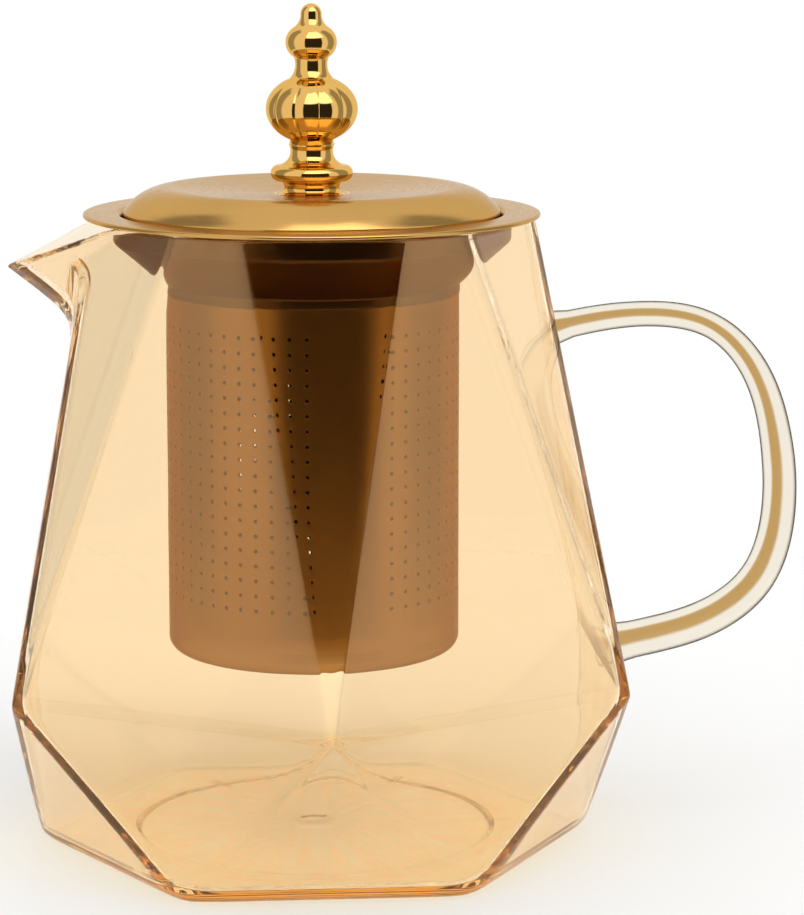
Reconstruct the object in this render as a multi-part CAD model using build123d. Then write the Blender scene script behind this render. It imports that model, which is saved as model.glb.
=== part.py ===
"""Glass teapot with a lift-out metal infuser and a domed lid.

Millimetres, +Z up. The origin is the middle of the base, on the table. The handle points along +X and
the pouring lip along -X. The belt is the hexagonal widest line of the pot, with corners at 30, 90, 150
degrees and so on; the corners of the base lie halfway between them.
"""
from build123d import *
from math import cos, radians, sin
import os

# Glass pot
BELT_R = 70.0            # centre to a corner of the belt
BELT_Z = 36.5
FOOT_R = 56.3            # centre to a corner of the base
MOUTH_R = 44.8           # outside of the rim
MOUTH_Z = 128.0
FACET_HALF_ANGLE = 20.0  # half the width of a corner facet at the rim
GLASS = 2.0              # wall thickness
WALL_AT_BELT = 1.27 * GLASS   # wall along the radius to a corner, at the belt, the mouth and the base
WALL_AT_MOUTH = 1.15 * GLASS
WALL_AT_FOOT = 1.1 * GLASS
FLOOR = 3.0              # thickness of the glass floor
FOOT_RECESS_R = 36.5
FOOT_RECESS_DEPTH = 0.8
FOOT_RECESS_BEVEL = 0.5

# Pouring lip
LIP_TIP = (-61.7, 118.9)     # (x, z)
LIP_ROOT = (-47.0, 107.4)    # where the keel of the lip meets the wall
LIP_WING = (-40.3, 20.5)     # (x, y) of the place where each top edge reaches the rim
LIP_WALL = 1.45 * GLASS      # how far the lip's hollow is moved in along its top face
LIP_HOLLOW_GROWTH = 1.3      # enlargement of that hollow, which opens it at the tip

# Handle
HANDLE_PATH = [(46, 104.1), (58, 106.6), (69.5, 107.4), (81.5, 104.7), (90, 96.2), (95, 81), (95.7, 66),
               (91, 51.6), (81.5, 44.2), (69, 40.4), (58, 38.2)]   # (x, z) down the middle of the rod
# (place along the path, height of the section in the handle's own plane, width across it)
HANDLE_SECTIONS = [
    (0.0, 8.6, 11.0), (0.022, 7.0, 9.6), (0.05, 5.5, 8.8), (0.15, 5.1, 8.6), (0.28, 5.2, 8.8),
    (0.4, 5.9, 9.6), (0.52, 6.7, 10.6), (0.68, 7.0, 11.0), (0.84, 7.4, 11.2), (0.94, 7.4, 11.2),
    (0.968, 8.2, 12.0), (1.0, 9.6, 13.4),
]

# Infuser
FLANGE_R = 45.8
CUP_BORE_R = 38.1
CUP_SHEET = 0.9
SHOULDER_TOP_Z = 123.3
SHOULDER_SLOPE = 0.884       # fall for each millimetre towards the tube
COLLAR_BEND_R = 0.9
TUBE_R = 29.2
TUBE_SHEET = 0.6
TUBE_TOP = 113.0
PAN_RIM = 44.5
PAN_BOTTOM = 40.0
PAN_CORNER_R = 2.5

# Perforation
HOLE_R = 0.4
HOLE_PITCH = 3.0
HOLE_ROWS = 19
FIRST_ROW_Z = 52.8
FLATS = 54                   # narrow flats round the tube, one column of holes to a flat
SEAM_FLATS = 4               # flats left plain at the welded seam
SEAM_ANGLE = -78.5
PAN_HOLE_RINGS = 8

# Lid
DOME_R = 37.8
DOME_SHEET = 0.8
DOME_EDGE_Z = 128.1
DOME_LIP = 0.9               # height of the dome's upright edge
CROWN_CENTRE_Z = 132.0       # the crown is a shallow dish, lowest at the knob
CREST_R = 28.0               # where the crown turns into the shoulder
CREST_Z = 133.9
KNOB_SEAT_R = 8.6            # flat seat pressed into the crown for the knob
SEAT_TOOL_HEIGHT = 2.0
SKIRT_R = 35.8               # outside of the skirt's wall
SKIRT_SHEET = 0.7
SKIRT_BEND_R = 0.36
SKIRT_BOTTOM_Z = 122.2
SKIRT_WELD_HEIGHT = 0.8      # how far the skirt's top reaches up inside the dome's edge
SKIRT_STEP_DROP = 0.4        # drop from the dome's edge to the skirt's inward step
SKIRT_STEP_FALL = 0.3        # fall of that step towards the wall
SKIRT_TOE = 0.8              # how far the skirt's foot turns out under the seal
SEAL_Z = 123.6
SEAL_HEIGHT = 3.4
SEAL_RIB = 0.7               # how far the seal's ribs stand out
RUNNING_GAP = 0.05

# Knob and its screw
KNOB_FOOT_Z = 131.4
KNOB_TOP_Z = 170.2
BALL_R = 9.26
BALL_HALF_HEIGHT = 6.9
BALL_Z = 149.3
TIP_R = 2.1              # the spire ends in half a ball
# Each turned moulding is an arc: its start, middle and end as (radius, height above the knob's foot)
MOULDINGS_BELOW_BALL = [
    ((7.4, 0), (8.0, 0.6), (7.4, 1.2)),
    ((7.4, 1.2), (5.5, 2.4), (6.9, 3.6)),
    ((6.9, 3.6), (8.25, 5.2), (6.6, 6.8)),
    ((6.6, 6.8), (4.6, 8.2), (4.55, 10.8)),
]
MOULDINGS_ABOVE_BALL = [
    ((3.7, 24.8), (3.2, 26.6), (3.5, 28.2)),
    ((3.5, 28.2), (5.13, 31.3), (3.6, 34.0)),
    ((3.6, 34.0), (2.5, 35.1), (2.1, 36.7)),
]
STUD_R = 2.0
STUD_BORE_DEPTH = 11.0
SCREW_LENGTH = 8.0
SCREW_HEAD_R = 3.8
SCREW_HEAD_HEIGHT = 2.4
SCREW_HEAD_ROUND = 0.9
SOCKET_R = 1.4
WASHER_R = 5.2
WASHER_THICKNESS = 0.8


STANDING = (Align.CENTER, Align.CENTER, Align.MIN)
HANGING = (Align.CENTER, Align.CENTER, Align.MAX)


def polar(radius, angle, z):
    """A point at a radius and an angle in degrees, at height z."""
    return (radius * cos(radians(angle)), radius * sin(radians(angle)), z)


def solid_of(outlines):
    """A solid from the flat outlines of its faces."""
    faces = [Face(Wire.make_polygon(outline)) for outline in outlines]
    solid = Solid(Shell(faces))
    return solid if solid.volume > 0 else Solid(solid.wrapped.Reversed())


def faceted_pot(belt_r, belt_z, mouth_r, mouth_z, foot_r, foot_z):
    """The pot's many-sided form: a ring of flat facets above the belt and one below it."""
    outlines = []
    mouth = []
    foot = []
    for corner in range(30, 390, 60):
        here = polar(belt_r, corner, belt_z)
        following = polar(belt_r, corner + 60, belt_z)
        left = polar(mouth_r, corner - FACET_HALF_ANGLE, mouth_z)
        right = polar(mouth_r, corner + FACET_HALF_ANGLE, mouth_z)
        next_left = polar(mouth_r, corner + 60 - FACET_HALF_ANGLE, mouth_z)
        foot_before = polar(foot_r, corner - 30, foot_z)
        foot_after = polar(foot_r, corner + 30, foot_z)
        outlines.append([here, right, left])
        outlines.append([here, following, next_left, right])
        outlines.append([here, foot_before, foot_after])
        outlines.append([here, foot_after, following])
        mouth += [left, right]
        foot.append(foot_after)
    outlines.append(mouth)
    outlines.append(foot[::-1])
    return solid_of(outlines)


def lip_wedge(tip, root, wing):
    """A three-sided wedge: keel from tip to root, top face out to the two wings at the rim."""
    tip_point = (tip[0], 0, tip[1])
    root_point = (root[0], 0, root[1])
    near = (wing[0], -wing[1], wing[2])
    far = (wing[0], wing[1], wing[2])
    return solid_of([
        [tip_point, near, root_point],
        [tip_point, root_point, far],
        [tip_point, far, near],
        [root_point, near, far],
    ])


def pot_outside(wing):
    """The whole outer form of the pot and its lip, filled in."""
    form = faceted_pot(BELT_R, BELT_Z, MOUTH_R, MOUTH_Z, FOOT_R, 0)
    return form + lip_wedge(LIP_TIP, LIP_ROOT, wing)


def pot_inside(wing):
    """The hollow of the pot and of its lip."""
    hollow = faceted_pot(
        BELT_R - WALL_AT_BELT, BELT_Z + 0.5 * GLASS,
        MOUTH_R - WALL_AT_MOUTH, MOUTH_Z + 0.5,
        FOOT_R - WALL_AT_FOOT, 0.5 * FLOOR,
    )
    hollow -= Pos(0, 0, FLOOR) * Box(3 * BELT_R, 3 * BELT_R, 2 * FLOOR, align=HANGING)
    # The lip's hollow is its outer wedge moved in along its top face, then enlarged about its root.
    slope = (MOUTH_Z - LIP_TIP[1]) / (wing[0] - LIP_TIP[0])

    def moved(x, z):
        return (x + LIP_WALL, z + LIP_WALL * slope)

    def enlarged(x, z):
        return (root[0] + LIP_HOLLOW_GROWTH * (x - root[0]), root[1] + LIP_HOLLOW_GROWTH * (z - root[1]))

    root = moved(*LIP_ROOT)
    tip = enlarged(*moved(*LIP_TIP))
    side_x, side_z = enlarged(*moved(wing[0], wing[2]))
    return hollow + lip_wedge(tip, root, (side_x, LIP_HOLLOW_GROWTH * wing[1], side_z))


def glass_body(outside, wing):
    """The pot: outer form less its hollow, with a shallow round recess under the floor."""
    recess = Cylinder(FOOT_RECESS_R, FOOT_RECESS_DEPTH, align=STANDING)
    recess = chamfer(recess.edges().group_by(Axis.Z)[-1], FOOT_RECESS_BEVEL)
    return outside - pot_inside(wing) - recess


def handle(outside):
    """The rod, thin at the top and thicker down its back, trimmed to sit on the wall at both ends."""
    path = Spline([(x, 0, z) for x, z in HANDLE_PATH])
    rings = []
    for place, height, width in HANDLE_SECTIONS:
        section = Plane(origin=path @ place, x_dir=(0, 1, 0), z_dir=path % place)
        rings.append(section * Ellipse(width / 2, height / 2))
    return loft(rings) - outside


def revolved(profile):
    """Turn a profile drawn in (radius, height) about the vertical axis."""
    return revolve(Plane.XZ * profile, Axis.Z)


def infuser_collar():
    """Flange, cup wall and sloping shoulder, drawn from one sheet."""
    half = CUP_SHEET / 2
    tube_mid = TUBE_R - TUBE_SHEET / 2
    cup_r = CUP_BORE_R + half
    line = FilletPolyline(
        (FLANGE_R - half, MOUTH_Z + half), (cup_r, MOUTH_Z + half), (cup_r, SHOULDER_TOP_Z),
        (tube_mid, SHOULDER_TOP_Z - SHOULDER_SLOPE * (cup_r - tube_mid)), (tube_mid, TUBE_TOP),
        radius=COLLAR_BEND_R,
    )
    rolled_edge = Pos(FLANGE_R - half, MOUTH_Z + half) * Circle(half)
    return revolved(trace(line, CUP_SHEET) + rolled_edge)


def infuser_tube():
    """The perforated tube: a prism of narrow flats, 0.05 mm short of round, with a column of holes on each."""
    height = TUBE_TOP - PAN_RIM
    step = 360 / FLATS
    turn = SEAM_ANGLE + step * (SEAM_FLATS / 2 + 0.5)
    outer = RegularPolygon(TUBE_R, FLATS, rotation=turn + step / 2)
    inner = RegularPolygon(TUBE_R - TUBE_SHEET, FLATS, rotation=turn + step / 2)
    wall = Pos(0, 0, PAN_RIM) * extrude(outer - inner, height)
    punch = Cylinder(HOLE_R, 4 * TUBE_SHEET)
    holes = []
    for column in range(FLATS - SEAM_FLATS):
        for row in range(HOLE_ROWS):
            place = Pos(TUBE_R - TUBE_SHEET / 2, 0, FIRST_ROW_Z + row * HOLE_PITCH) * Rot(0, 90, 0)
            holes.append(Rot(0, 0, turn + column * step) * place * punch)
    return wall - holes


def infuser_base():
    """The shallow pan that closes the tube, with rings of holes in its floor."""
    height = PAN_RIM - PAN_BOTTOM
    outer = Cylinder(TUBE_R, height, align=STANDING)
    outer = fillet(outer.edges().group_by(Axis.Z)[0], PAN_CORNER_R)
    inner = Pos(0, 0, TUBE_SHEET) * Cylinder(TUBE_R - TUBE_SHEET, height, align=STANDING)
    inner = fillet(inner.edges().group_by(Axis.Z)[0], PAN_CORNER_R - TUBE_SHEET)
    punch = Cylinder(HOLE_R, 4 * TUBE_SHEET)
    holes = [punch]
    for ring in range(1, PAN_HOLE_RINGS + 1):
        count = 6 * ring
        for step in range(count):
            holes.append(Rot(0, 0, 360 * step / count) * Pos(ring * HOLE_PITCH, 0, 0) * punch)
    return Pos(0, 0, PAN_BOTTOM) * (outer - inner - holes)


def dome_profile(drop):
    """The dome's crown and shoulder in (radius, height), moved in from the outside by drop."""
    crown = Line((0, CROWN_CENTRE_Z - drop), (CREST_R, CREST_Z - drop))
    shoulder = TangentArc(crown @ 1, (DOME_R - drop, DOME_EDGE_Z + DOME_LIP), tangent=crown % 1)
    return crown, shoulder


def lid_dome():
    """The cover: a shallow dished crown, a rounded shoulder, a short upright edge and the knob's seat."""
    crown, shoulder = dome_profile(0)
    inner_crown, inner_shoulder = dome_profile(DOME_SHEET)
    edge_r = DOME_R - DOME_SHEET
    outline = Wire([
        crown,
        shoulder,
        Line(shoulder @ 1, (DOME_R, DOME_EDGE_Z)),
        Line((DOME_R, DOME_EDGE_Z), (edge_r, DOME_EDGE_Z)),
        Line((edge_r, DOME_EDGE_Z), inner_shoulder @ 1),
        inner_shoulder,
        inner_crown,
        Line(inner_crown @ 0, crown @ 0),
    ])
    seat = Pos(0, 0, KNOB_FOOT_Z) * Cylinder(KNOB_SEAT_R, SEAT_TOOL_HEIGHT, align=STANDING)
    seat_bottom = KNOB_FOOT_Z - DOME_SHEET
    under_seat = Pos(0, 0, seat_bottom) * Cylinder(
        KNOB_SEAT_R + DOME_SHEET, CROWN_CENTRE_Z - seat_bottom, align=STANDING)
    hole = Pos(0, 0, KNOB_FOOT_Z) * Cylinder(STUD_R + RUNNING_GAP, 4 * DOME_SHEET)
    return revolved(make_face(outline)) + under_seat - seat - hole


def lid_skirt():
    """The inner ring of the lid: welded inside the dome's edge, grooved for the seal."""
    half = SKIRT_SHEET / 2
    wall_r = SKIRT_R - half
    weld_r = DOME_R - DOME_SHEET - half
    step_z = DOME_EDGE_Z - SKIRT_STEP_DROP
    line = FilletPolyline(
        (weld_r, DOME_EDGE_Z + SKIRT_WELD_HEIGHT), (weld_r, step_z), (wall_r, step_z - SKIRT_STEP_FALL),
        (wall_r, SKIRT_BOTTOM_Z + half), (SKIRT_R + SKIRT_TOE, SKIRT_BOTTOM_Z + half),
        radius=SKIRT_BEND_R,
    )
    return revolved(trace(line, SKIRT_SHEET))


def lid_seal():
    """A silicone ring in the skirt's groove, with two soft ribs that reach the wall of the cup."""
    inner_r = SKIRT_R + RUNNING_GAP
    outer_r = CUP_BORE_R - RUNNING_GAP
    band_r = outer_r - SEAL_RIB
    rib = SEAL_HEIGHT / 4
    band = Rectangle(band_r - inner_r, SEAL_HEIGHT)
    profile = Pos((inner_r + band_r) / 2, SEAL_Z + SEAL_HEIGHT / 2) * band
    for height in (rib, SEAL_HEIGHT - rib):
        profile += Pos(band_r, SEAL_Z + height) * Ellipse(outer_r - band_r, 0.6 * rib)
    return revolved(profile)


def ball_point(angle):
    """A point on the flattened ball, at an angle in degrees above its widest line."""
    return (BALL_R * cos(radians(angle)), BALL_Z + BALL_HALF_HEIGHT * sin(radians(angle)))


def mouldings(arcs):
    """Arcs given from the knob's foot up, placed at their heights."""
    return [ThreePointArc(*[(radius, KNOB_FOOT_Z + height) for radius, height in arc]) for arc in arcs]


def knob():
    """The turned knob: foot, waist, disc, ball, bead and spire, with a blind threaded bore."""
    below = mouldings(MOULDINGS_BELOW_BALL)
    above = mouldings(MOULDINGS_ABOVE_BALL)
    ball = Spline([below[-1] @ 1] + [ball_point(angle) for angle in range(-60, 60, 12)] + [above[0] @ 0])
    outline = Wire(
        [Line((0, KNOB_FOOT_Z), below[0] @ 0)] + below + [ball] + above
        + [RadiusArc(above[-1] @ 1, (0, KNOB_TOP_Z), -TIP_R), Line((0, KNOB_TOP_Z), (0, KNOB_FOOT_Z))]
    )
    bore = Pos(0, 0, KNOB_FOOT_Z) * Cylinder(STUD_R + RUNNING_GAP, STUD_BORE_DEPTH, align=STANDING)
    return revolved(make_face(outline)) - bore


def knob_screw():
    """Pan-head screw from under the dome, with a hexagon socket."""
    head_top = KNOB_FOOT_Z - DOME_SHEET - WASHER_THICKNESS
    shank_length = SCREW_LENGTH + DOME_SHEET + WASHER_THICKNESS
    shank = Pos(0, 0, head_top) * Cylinder(STUD_R, shank_length, align=STANDING)
    head = Cylinder(SCREW_HEAD_R, SCREW_HEAD_HEIGHT, align=STANDING)
    head = fillet(head.edges().group_by(Axis.Z)[0], SCREW_HEAD_ROUND)
    socket = extrude(RegularPolygon(SOCKET_R, 6), SCREW_HEAD_HEIGHT / 2)
    return shank + Pos(0, 0, head_top - SCREW_HEAD_HEIGHT) * (head - socket)


def knob_washer():
    """Plain washer between the screw's head and the dome."""
    ring = Circle(WASHER_R) - Circle(STUD_R + 3 * RUNNING_GAP)
    return Pos(0, 0, KNOB_FOOT_Z - DOME_SHEET - WASHER_THICKNESS) * extrude(ring, WASHER_THICKNESS)


def build():
    """Every piece of the teapot, by node name."""
    wing = (LIP_WING[0], LIP_WING[1], MOUTH_Z)
    outside = pot_outside(wing)
    return {
        "glass_body": glass_body(outside, wing),
        "handle": handle(outside),
        "infuser_collar": infuser_collar(),
        "infuser_tube": infuser_tube(),
        "infuser_base": infuser_base(),
        "lid_dome": lid_dome(),
        "lid_skirt": lid_skirt(),
        "lid_seal": lid_seal(),
        "knob": knob(),
        "knob_screw": knob_screw(),
        "knob_washer": knob_washer(),
    }


os.makedirs("parts", exist_ok=True)
for node, piece in build().items():
    export_step(piece, "parts/" + node + ".step")
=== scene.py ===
"""Looks of the glass teapot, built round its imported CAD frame.

Shapes are worked out in millimetres in the CAD frame and written to meshes in metres. The handle points
along +X, the pouring lip along -X, and the photographed side faces -Y.
"""
import math

import bmesh
import bpy
import numpy as np
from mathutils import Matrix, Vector


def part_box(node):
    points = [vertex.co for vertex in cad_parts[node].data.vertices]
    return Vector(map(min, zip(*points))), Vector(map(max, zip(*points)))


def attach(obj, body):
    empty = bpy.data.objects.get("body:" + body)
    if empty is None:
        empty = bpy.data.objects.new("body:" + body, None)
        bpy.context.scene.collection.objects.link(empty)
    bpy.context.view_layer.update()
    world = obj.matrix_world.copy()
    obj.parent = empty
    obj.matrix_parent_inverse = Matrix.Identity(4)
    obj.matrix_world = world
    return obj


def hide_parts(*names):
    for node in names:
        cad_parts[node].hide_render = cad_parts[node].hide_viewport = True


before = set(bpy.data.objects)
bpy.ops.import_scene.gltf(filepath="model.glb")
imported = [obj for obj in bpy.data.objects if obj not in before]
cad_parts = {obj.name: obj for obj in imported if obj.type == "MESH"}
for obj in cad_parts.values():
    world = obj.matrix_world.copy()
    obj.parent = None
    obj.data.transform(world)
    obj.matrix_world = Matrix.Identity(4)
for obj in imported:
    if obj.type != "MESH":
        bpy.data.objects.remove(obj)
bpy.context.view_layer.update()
MM = 0.001


def box_mm(node):
    """Lowest and highest corner of a CAD node, in millimetres."""
    low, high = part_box(node)
    return low / MM, high / MM


# Places taken from the frame
POT_LOW, POT_HIGH = box_mm("glass_body")
_, COLLAR_HIGH = box_mm("infuser_collar")
TUBE_LOW, TUBE_HIGH = box_mm("infuser_tube")
DOME_LOW, DOME_HIGH = box_mm("lid_dome")
KNOB_LOW, KNOB_HIGH = box_mm("knob")

# Glass pot
BELT_R = POT_HIGH.y          # centre to a corner of the belt
BELT_Z = 36.5
MOUTH_R = 44.8               # centre to a corner of the rim
MOUTH_Z = POT_HIGH.z
FOOT_R = 56.3                # centre to a corner of the base
FACET_HALF_ANGLE = 20.0      # half the width of a corner facet at the rim
RIM_WALL = 2.1
BASE_ROUND = 2.5             # radius of the outside edge of the base
FLOOR_Z = 3.0
FLOOR_ROUND = 2.0            # radius of the inside corner of the floor
RECESS_DEPTH = 0.8
# (radius, height) from the middle of the recess to the flat ring it stands on
RECESS_PROFILE = [(6, 0.8), (20, 0.8), (31, 0.8), (34.6, 0.8), (35.5, 0.72), (36.1, 0.4), (36.5, 0.1),
                  (36.9, 0.0)]
# (radius, height above the floor) of the mark in the middle of the floor
FLOOR_MARK = [(4.9, -0.02), (4.2, -0.12), (2.5, -0.2)]
LIP_TIP = (POT_LOW.x, 118.9)
LIP_ROOT = (-47.0, 107.4)
LIP_WING = (-40.3, 20.5)
LIP_FALL_START = 101.4       # height from which the pot's rings bend down towards the lip
LIP_WALL = 2.9
LIP_HOLLOW_GROWTH = 1.3
LIP_JOIN = 2.4               # softness of the meeting of lip and wall

# Handle, as (x, z) down the middle of the rod
HANDLE_PATH = [(46, 104.1), (58, 106.6), (69.5, 107.4), (81.5, 104.7), (90, 96.2), (95, 81), (95.7, 66),
               (91, 51.6), (81.5, 44.2), (69, 40.4), (58, 38.2)]
# (place along the path, height of the section in the handle's own plane, width across it)
HANDLE_SECTIONS = [
    (0.0, 8.6, 11.0), (0.022, 7.0, 9.6), (0.05, 5.5, 8.8), (0.15, 5.1, 8.6), (0.28, 5.2, 8.8),
    (0.4, 5.9, 9.6), (0.52, 6.7, 10.6), (0.68, 7.0, 11.0), (0.84, 7.4, 11.2), (0.94, 7.4, 11.2),
    (0.968, 8.2, 12.0), (1.0, 9.6, 13.4),
]
HANDLE_STEPS = 220
HANDLE_SEGMENTS = 40
HANDLE_STAND_OFF = 0.03

# Infuser
FLANGE_R = COLLAR_HIGH.x
FLANGE_GOLD_DEPTH = 1.2      # how far down from the flange the gold finish reaches; below it the sheet is painted dark as shade
COLLAR_BENDS = [0.9, 0.9, 1.2]
COLLAR_END_GAP = 0.05
CUP_BORE_R = 38.1
CUP_SHEET = 0.9
SHOULDER_TOP_Z = 123.3
SHOULDER_SLOPE = 0.884
TUBE_R = 29.2
TUBE_SHEET = 0.6
TUBE_OUTSIDE_DEPTH = 0.1     # faces deeper than this get the painted shade of the tube's inside
HOLE_R = 0.4
HOLE_RIM_WIDTH = 0.11        # burnished edge of a hole, and how deep it goes
HOLE_RIM_DROP = 0.07
HOLE_PITCH = 3.0
HOLE_ROWS = 19
FIRST_ROW_Z = 52.8
COLUMNS = 54
SEAM_COLUMNS = 4
SEAM_ANGLE = -78.5

# Lid
DOME_R = DOME_HIGH.x
DOME_SHEET = 0.8
DOME_EDGE_Z = DOME_LOW.z
DOME_LIP = 0.9
CROWN_CENTRE_Z = 132.0
CREST = (28.0, 133.9)        # (radius, height) where the crown turns into the shoulder
SCREW_HOLE_R = 2.05
KNOB_FOOT_Z = KNOB_LOW.z
KNOB_TOP_Z = KNOB_HIGH.z
BALL_R = 9.26
BALL_HALF_HEIGHT = 6.9
BALL_Z = 149.3
BALL_END_ANGLE = 62.0
BALL_TOP = (3.7, 156.2)
TIP_R = 2.1
KNOB_FOOT_R = 7.4
# Each turned moulding is an arc: its steps, then its start, middle and end as (radius, height above the foot)
MOULDINGS_BELOW_BALL = [
    (10, (7.4, 0), (8.0, 0.6), (7.4, 1.2)),
    (14, (7.4, 1.2), (5.5, 2.4), (6.9, 3.6)),
    (16, (6.9, 3.6), (8.25, 5.2), (6.6, 6.8)),
    (12, (6.6, 6.8), (4.6, 8.2), (4.55, 10.8)),
]
MOULDINGS_ABOVE_BALL = [
    (10, (3.7, 24.8), (3.2, 26.6), (3.5, 28.2)),
    (16, (3.5, 28.2), (5.13, 31.3), (3.6, 34.0)),
    (10, (3.6, 34.0), (2.5, 35.1), (2.1, 36.7)),
]
LOBES = 11
LOBE_GROOVE_ANGLE = -81.2
LOBE_DEPTH = 0.42


# ---------------------------------------------------------------- outlines and meshes

def circle_angles(count):
    return np.linspace(0, 2 * math.pi, count, endpoint=False)


def arc_through(start, middle, end, steps):
    """Points on the circle through three (radius, height) points, start and end included."""
    (ax, ay), (bx, by), (cx, cy) = start, middle, end
    d = 2 * (ax * (by - cy) + bx * (cy - ay) + cx * (ay - by))
    a2, b2, c2 = ax * ax + ay * ay, bx * bx + by * by, cx * cx + cy * cy
    ux = (a2 * (by - cy) + b2 * (cy - ay) + c2 * (ay - by)) / d
    uy = (a2 * (cx - bx) + b2 * (ax - cx) + c2 * (bx - ax)) / d
    first = math.atan2(ay - uy, ax - ux)
    second = math.atan2(by - uy, bx - ux)
    last = math.atan2(cy - uy, cx - ux)
    turn = (last - first) % (2 * math.pi)
    if (second - first) % (2 * math.pi) > turn:
        turn -= 2 * math.pi
    radius = math.hypot(ax - ux, ay - uy)
    angles = [first + turn * i / steps for i in range(steps + 1)]
    return [(ux + radius * math.cos(angle), uy + radius * math.sin(angle)) for angle in angles]


def rounded(points, radius, steps=5):
    """A bent line with each inner corner turned into an arc. radius is one number or one for each corner."""
    radii = radius if isinstance(radius, (list, tuple)) else [radius] * (len(points) - 2)
    out = [points[0]]
    for before, corner, after, r in zip(points, points[1:], points[2:], radii):
        p, q, s = (np.array(x, float) for x in (before, corner, after))
        u = (p - q) / np.linalg.norm(p - q)
        v = (s - q) / np.linalg.norm(s - q)
        half = math.acos(np.clip(u @ v, -1, 1)) / 2
        reach = r / math.tan(half)
        centre = q + (u + v) / np.linalg.norm(u + v) * r / math.sin(half)
        middle = centre + (q - centre) / np.linalg.norm(q - centre) * r
        out += arc_through(tuple(q + u * reach), tuple(middle), tuple(q + v * reach), steps)
    out.append(points[-1])
    return out


def sheet(line, thickness, end_steps=4):
    """The closed outline of a sheet of one thickness that follows a line, with rounded edges."""
    points = np.array(line, float)
    along = np.gradient(points, axis=0)
    along /= np.linalg.norm(along, axis=1)[:, None]
    normal = np.stack([-along[:, 1], along[:, 0]], axis=1)
    half = thickness / 2
    turns = np.linspace(0, math.pi, end_steps + 1)[1:-1]
    end_cap = [points[-1] + half * (normal[-1] * math.cos(t) + along[-1] * math.sin(t)) for t in turns]
    start_cap = [points[0] - half * (normal[0] * math.cos(t) + along[0] * math.sin(t)) for t in turns]
    left = list(points + half * normal)
    right = list((points - half * normal)[::-1])
    return [tuple(p) for p in left + end_cap + right + start_cap]


def new_piece(name, vertices, faces, body, material, replaces):
    """A smooth-shaded mesh from points in millimetres, riding on a CAD body in place of a CAD node."""
    mesh = bpy.data.meshes.new(name)
    mesh.from_pydata((np.asarray(vertices) * MM).tolist(), [], faces)
    mesh.validate()
    mesh.shade_smooth()
    piece = bpy.data.objects.new(name, mesh)
    bpy.context.scene.collection.objects.link(piece)
    flats = piece.modifiers.new("flat_faces_stay_flat", "WEIGHTED_NORMAL")
    flats.keep_sharp = True
    mesh.materials.append(material)
    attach(piece, body)
    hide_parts(replaces)
    return piece


def grid_faces(rows, columns, closed_rows):
    """Quads between rows of points that each run once round; closed_rows joins the last row to the first."""
    faces = []
    for row in range(rows if closed_rows else rows - 1):
        here = row * columns
        there = (row + 1) % rows * columns
        for column in range(columns):
            following = (column + 1) % columns
            faces.append((here + column, here + following, there + following, there + column))
    return faces


def lathe(outline, segments, swell=None):
    """Vertices and faces of an outline of (radius, height) turned about the axis.

    An outline whose ends lie on the axis closes there; any other outline closes on itself. The outline runs
    anticlockwise with radius to the right and height up. swell(angles, radius, height) can change the radius.
    """
    on_axis = abs(outline[0][0]) < 1e-6
    rows = outline[1:-1] if on_axis else outline
    angles = circle_angles(segments)
    vertices = []
    for radius, height in rows:
        reach = swell(angles, radius, height) if swell else np.full(segments, radius)
        level = np.full(segments, height)
        vertices += list(np.stack([reach * np.cos(angles), reach * np.sin(angles), level], 1))
    faces = grid_faces(len(rows), segments, closed_rows=not on_axis)
    if on_axis:
        vertices += [(0, 0, outline[0][1]), (0, 0, outline[-1][1])]
        start, end = len(vertices) - 2, len(vertices) - 1
        last = (len(rows) - 1) * segments
        for column in range(segments):
            following = (column + 1) % segments
            faces.append((start, following, column))
            faces.append((end, last + column, last + following))
    return vertices, faces


# ---------------------------------------------------------------- materials

class Nodes:
    """A short way to write a node tree."""

    def __init__(self, tree):
        self.tree = tree
        tree.nodes.clear()

    def add(self, kind, inputs=None, **settings):
        """A node with its settings and inputs; an input is a value or another node's output."""
        node = self.tree.nodes.new(kind)
        for name, value in settings.items():
            setattr(node, name, value)
        for name, value in (inputs or {}).items():
            socket = node.inputs[name]
            if isinstance(value, bpy.types.NodeSocket):
                self.tree.links.new(value, socket)
            else:
                socket.default_value = value
        return node

    def math(self, operation, first, second=0.0, third=0.0):
        return self.add("ShaderNodeMath", {0: first, 1: second, 2: third}, operation=operation).outputs[0]

    def vector(self, operation, first, second=(0, 0, 0)):
        node = self.add("ShaderNodeVectorMath", {0: first, 1: second}, operation=operation)
        return node.outputs["Value" if operation in ("DOT_PRODUCT", "LENGTH") else "Vector"]

    def ramp(self, value, low, high, start=0.0, end=1.0):
        """A smooth step from start at low to end at high."""
        return self.add("ShaderNodeMapRange", {"Value": value, "From Min": low, "From Max": high,
                                               "To Min": start, "To Max": end},
                        interpolation_type="SMOOTHSTEP").outputs["Result"]

    def noise(self, coordinates, scale, detail=2.0, roughness=0.5):
        return self.add("ShaderNodeTexNoise", {"Vector": coordinates, "Scale": scale, "Detail": detail,
                                               "Roughness": roughness}).outputs[0]

    def mix_colour(self, share, first, second):
        node = self.add("ShaderNodeMix", data_type="RGBA")
        for socket, value in ((node.inputs[0], share), (node.inputs[6], first), (node.inputs[7], second)):
            if isinstance(value, bpy.types.NodeSocket):
                self.tree.links.new(value, socket)
            else:
                socket.default_value = value
        return node.outputs[2]

    def bump(self, height, distance, strength=1.0):
        return self.add("ShaderNodeBump", {"Height": height, "Distance": distance,
                                           "Strength": strength}).outputs["Normal"]


def new_material(name):
    material = bpy.data.materials.new(name)
    material.use_nodes = True
    return material, Nodes(material.node_tree)


def object_position(nodes):
    return nodes.add("ShaderNodeTexCoord").outputs["Object"]


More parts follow.
